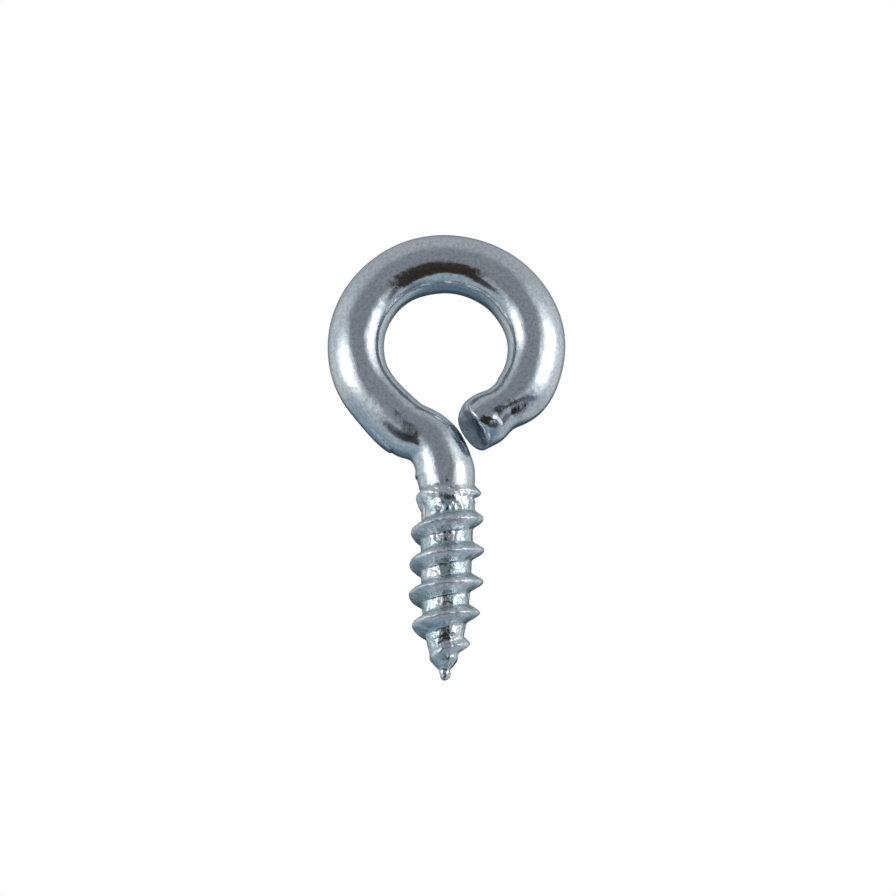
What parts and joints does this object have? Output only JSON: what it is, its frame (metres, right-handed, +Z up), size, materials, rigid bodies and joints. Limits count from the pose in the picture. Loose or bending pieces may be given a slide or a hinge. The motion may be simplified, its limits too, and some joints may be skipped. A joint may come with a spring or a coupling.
{
  "type": "screw eye",
  "caption": "Plated steel screw eye: wire bent into an open eye over a short neck and a shank with a right-hand wood thread and gimlet point. Screws into wood to take a hook, cord or wire.",
  "frame": {"origin": "on the screw axis at the top of the thread, where the surface of the wood ends up", "axes": "+Z up the screw axis to the eye, -Z to the point; the eye lies in the XZ plane and its cut end is on the +X side; the thread is right-hand"},
  "size_m": [0.0129, 0.004, 0.025],
  "materials": {
    "zinc_plated_steel": "bright zinc electroplate with a faint blue tint, fine grain, drawn-wire streaks"
  },
  "bodies": {
    "root": {"screw_eye": "zinc_plated_steel"}
  },
  "joints": []
}
